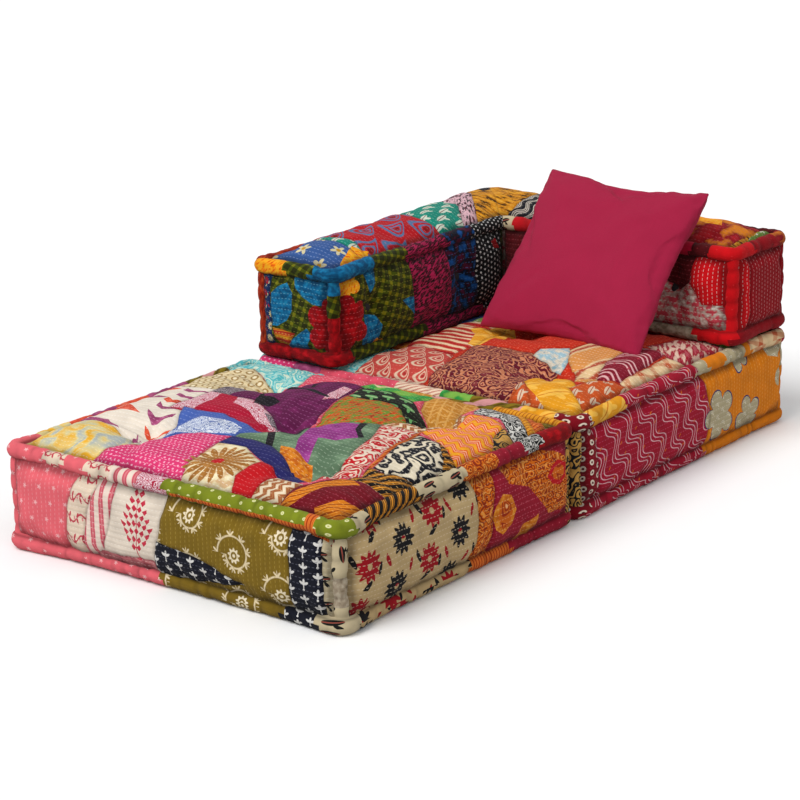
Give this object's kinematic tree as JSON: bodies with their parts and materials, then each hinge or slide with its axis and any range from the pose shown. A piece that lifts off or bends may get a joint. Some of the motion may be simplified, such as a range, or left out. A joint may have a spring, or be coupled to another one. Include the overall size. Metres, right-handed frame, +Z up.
{
  "type": "modular floor sofa",
  "caption": "Low floor sofa of stacked, tufted patchwork mattresses: seat, matching footstool, L-shaped backrest and a plain scatter cushion.",
  "frame": {"origin": "middle of the sofa's footprint, on the floor", "axes": "+X to the right along the front edge, +Y from the footstool to the backrest, +Z up"},
  "size_m": [0.8, 1.506, 0.5368],
  "materials": {
    "patchwork_quilt": "patchwork of printed cotton pieces, quilted with rows of running stitch",
    "rolled_edge": "printed cotton rolled round a cord of wadding and stitched",
    "under_cloth": "plain unbleached cotton",
    "cotton_filling": "loose cotton wadding",
    "tufting_twine": "waxed cotton twine",
    "covered_button": "button covered in black cotton",
    "plain_cotton": "plain woven cotton, deep magenta",
    "cushion_filling": "polyester fibre in a white lining",
    "zip_tape": "woven tape",
    "zip_teeth": "moulded coil",
    "zip_metal": "dull brass"
  },
  "bodies": {
    "seat": {"seat_bottom_panel": "under_cloth", "seat_bottom_roll": "rolled_edge", "seat_corner_rolls": "rolled_edge", "seat_filling": "cotton_filling", "seat_front_border": "patchwork_quilt", "seat_left_border": "patchwork_quilt", "seat_rear_border": "patchwork_quilt", "seat_right_border": "patchwork_quilt", "seat_top_panel": "patchwork_quilt", "seat_top_roll": "rolled_edge", "seat_tuft_knots": "tufting_twine", "seat_tuft_twine": "tufting_twine", "seat_under_knots": "tufting_twine"},
    "footstool": {"stool_bottom_panel": "under_cloth", "stool_bottom_roll": "rolled_edge", "stool_corner_rolls": "rolled_edge", "stool_filling": "cotton_filling", "stool_front_border": "patchwork_quilt", "stool_left_border": "patchwork_quilt", "stool_rear_border": "patchwork_quilt", "stool_right_border": "patchwork_quilt", "stool_top_panel": "patchwork_quilt", "stool_top_roll": "rolled_edge", "stool_tuft_knots": "tufting_twine", "stool_tuft_twine": "tufting_twine", "stool_under_knots": "tufting_twine"},
    "backrest": {"backrest_bottom_roll": "rolled_edge", "backrest_button_twine": "tufting_twine", "backrest_corner_rolls": "rolled_edge", "backrest_inner_buttons": "covered_button", "backrest_left_bottom_panel": "under_cloth", "backrest_left_end_border": "patchwork_quilt", "backrest_left_filling": "cotton_filling", "backrest_left_inner_border": "patchwork_quilt", "backrest_left_outer_border": "patchwork_quilt", "backrest_left_top_panel": "patchwork_quilt", "backrest_outer_buttons": "covered_button", "backrest_rear_bottom_panel": "under_cloth", "backrest_rear_end_border": "patchwork_quilt", "backrest_rear_filling": "cotton_filling", "backrest_rear_inner_border": "patchwork_quilt", "backrest_rear_outer_border": "patchwork_quilt", "backrest_rear_top_panel": "patchwork_quilt", "backrest_top_roll": "rolled_edge"},
    "scatter_cushion": {"cushion_front_panel": "plain_cotton", "cushion_insert": "cushion_filling", "cushion_rear_panel": "plain_cotton", "cushion_zip_chain": "zip_teeth", "cushion_zip_tapes": "zip_tape"},
    "zip_slider": {"cushion_zip_slider": "zip_metal"},
    "zip_pull": {"cushion_zip_pull": "zip_metal"}
  },
  "joints": [
    {"name": "footstool_pull", "type": "slide", "parent": "seat", "child": "footstool", "axis": [0, -1, 0], "range_m": [0, 0.6]},
    {"name": "backrest_lift", "type": "slide", "parent": "seat", "child": "backrest", "axis": [0, 0, 1], "range_m": [0, 0.45]},
    {"name": "cushion_lift", "type": "slide", "parent": "backrest", "child": "scatter_cushion", "axis": [0, 0, 1], "range_m": [0, 0.45]},
    {"name": "zip_slide", "type": "slide", "parent": "scatter_cushion", "child": "zip_slider", "axis": [-0.9991, -0.0173, 0.0389], "range_m": [0, 0.259]},
    {"name": "zip_pull_flip", "type": "hinge", "parent": "zip_slider", "child": "zip_pull", "pos_m": [0.24077, 0.38266, 0.24924], "axis": [-0.0067, -0.8386, -0.5446], "range_deg": [0, 165]}
  ]
}
